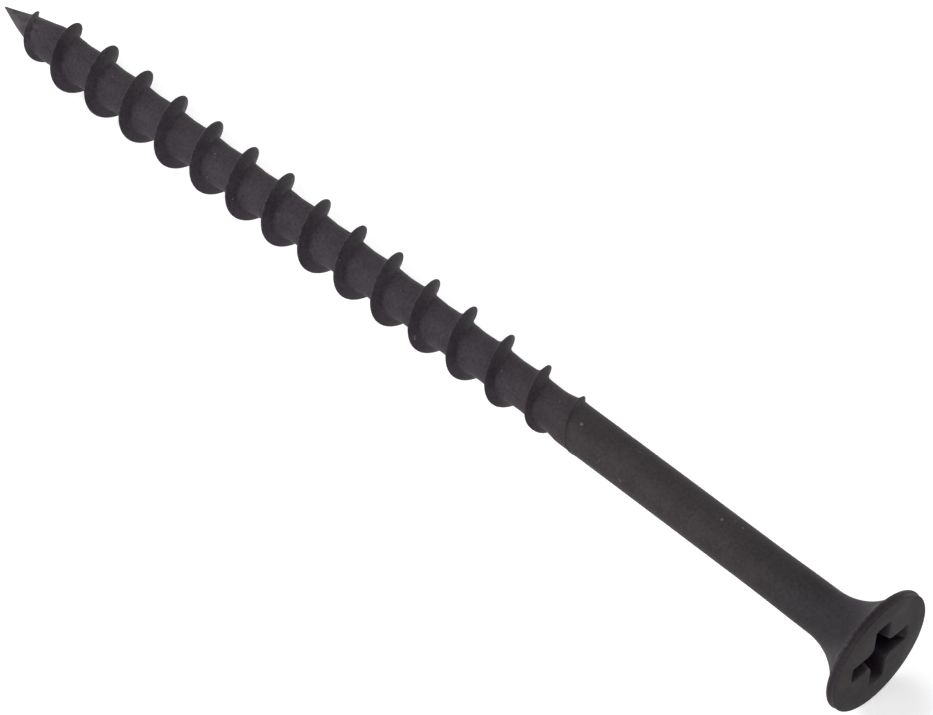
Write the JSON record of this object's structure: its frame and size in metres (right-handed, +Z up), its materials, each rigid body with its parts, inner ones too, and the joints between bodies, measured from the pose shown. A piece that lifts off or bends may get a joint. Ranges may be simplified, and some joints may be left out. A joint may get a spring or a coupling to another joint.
{
  "type": "drywall screw",
  "caption": "Long coarse-thread drywall screw with a trumpet-shaped countersunk head, a cross recess, a partly plain shank and a sharp point, for fixing board to wood.",
  "frame": {"origin": "on the floor under the middle of the screw's overall box", "axes": "+X towards the head along the floor, +Z up. The screw lies as it rests, on the back edge of its rim and on one thread crest near the point, so its axis drops by about 1.6 degrees towards the point. The point is at -X."},
  "size_m": [0.0754, 0.0082, 0.0082],
  "materials": {
    "phosphated_steel": "matt black phosphate coating on hardened carbon steel, slightly mottled, with small lighter scuffs"
  },
  "bodies": {
    "root": {"screw": "phosphated_steel"}
  },
  "joints": []
}
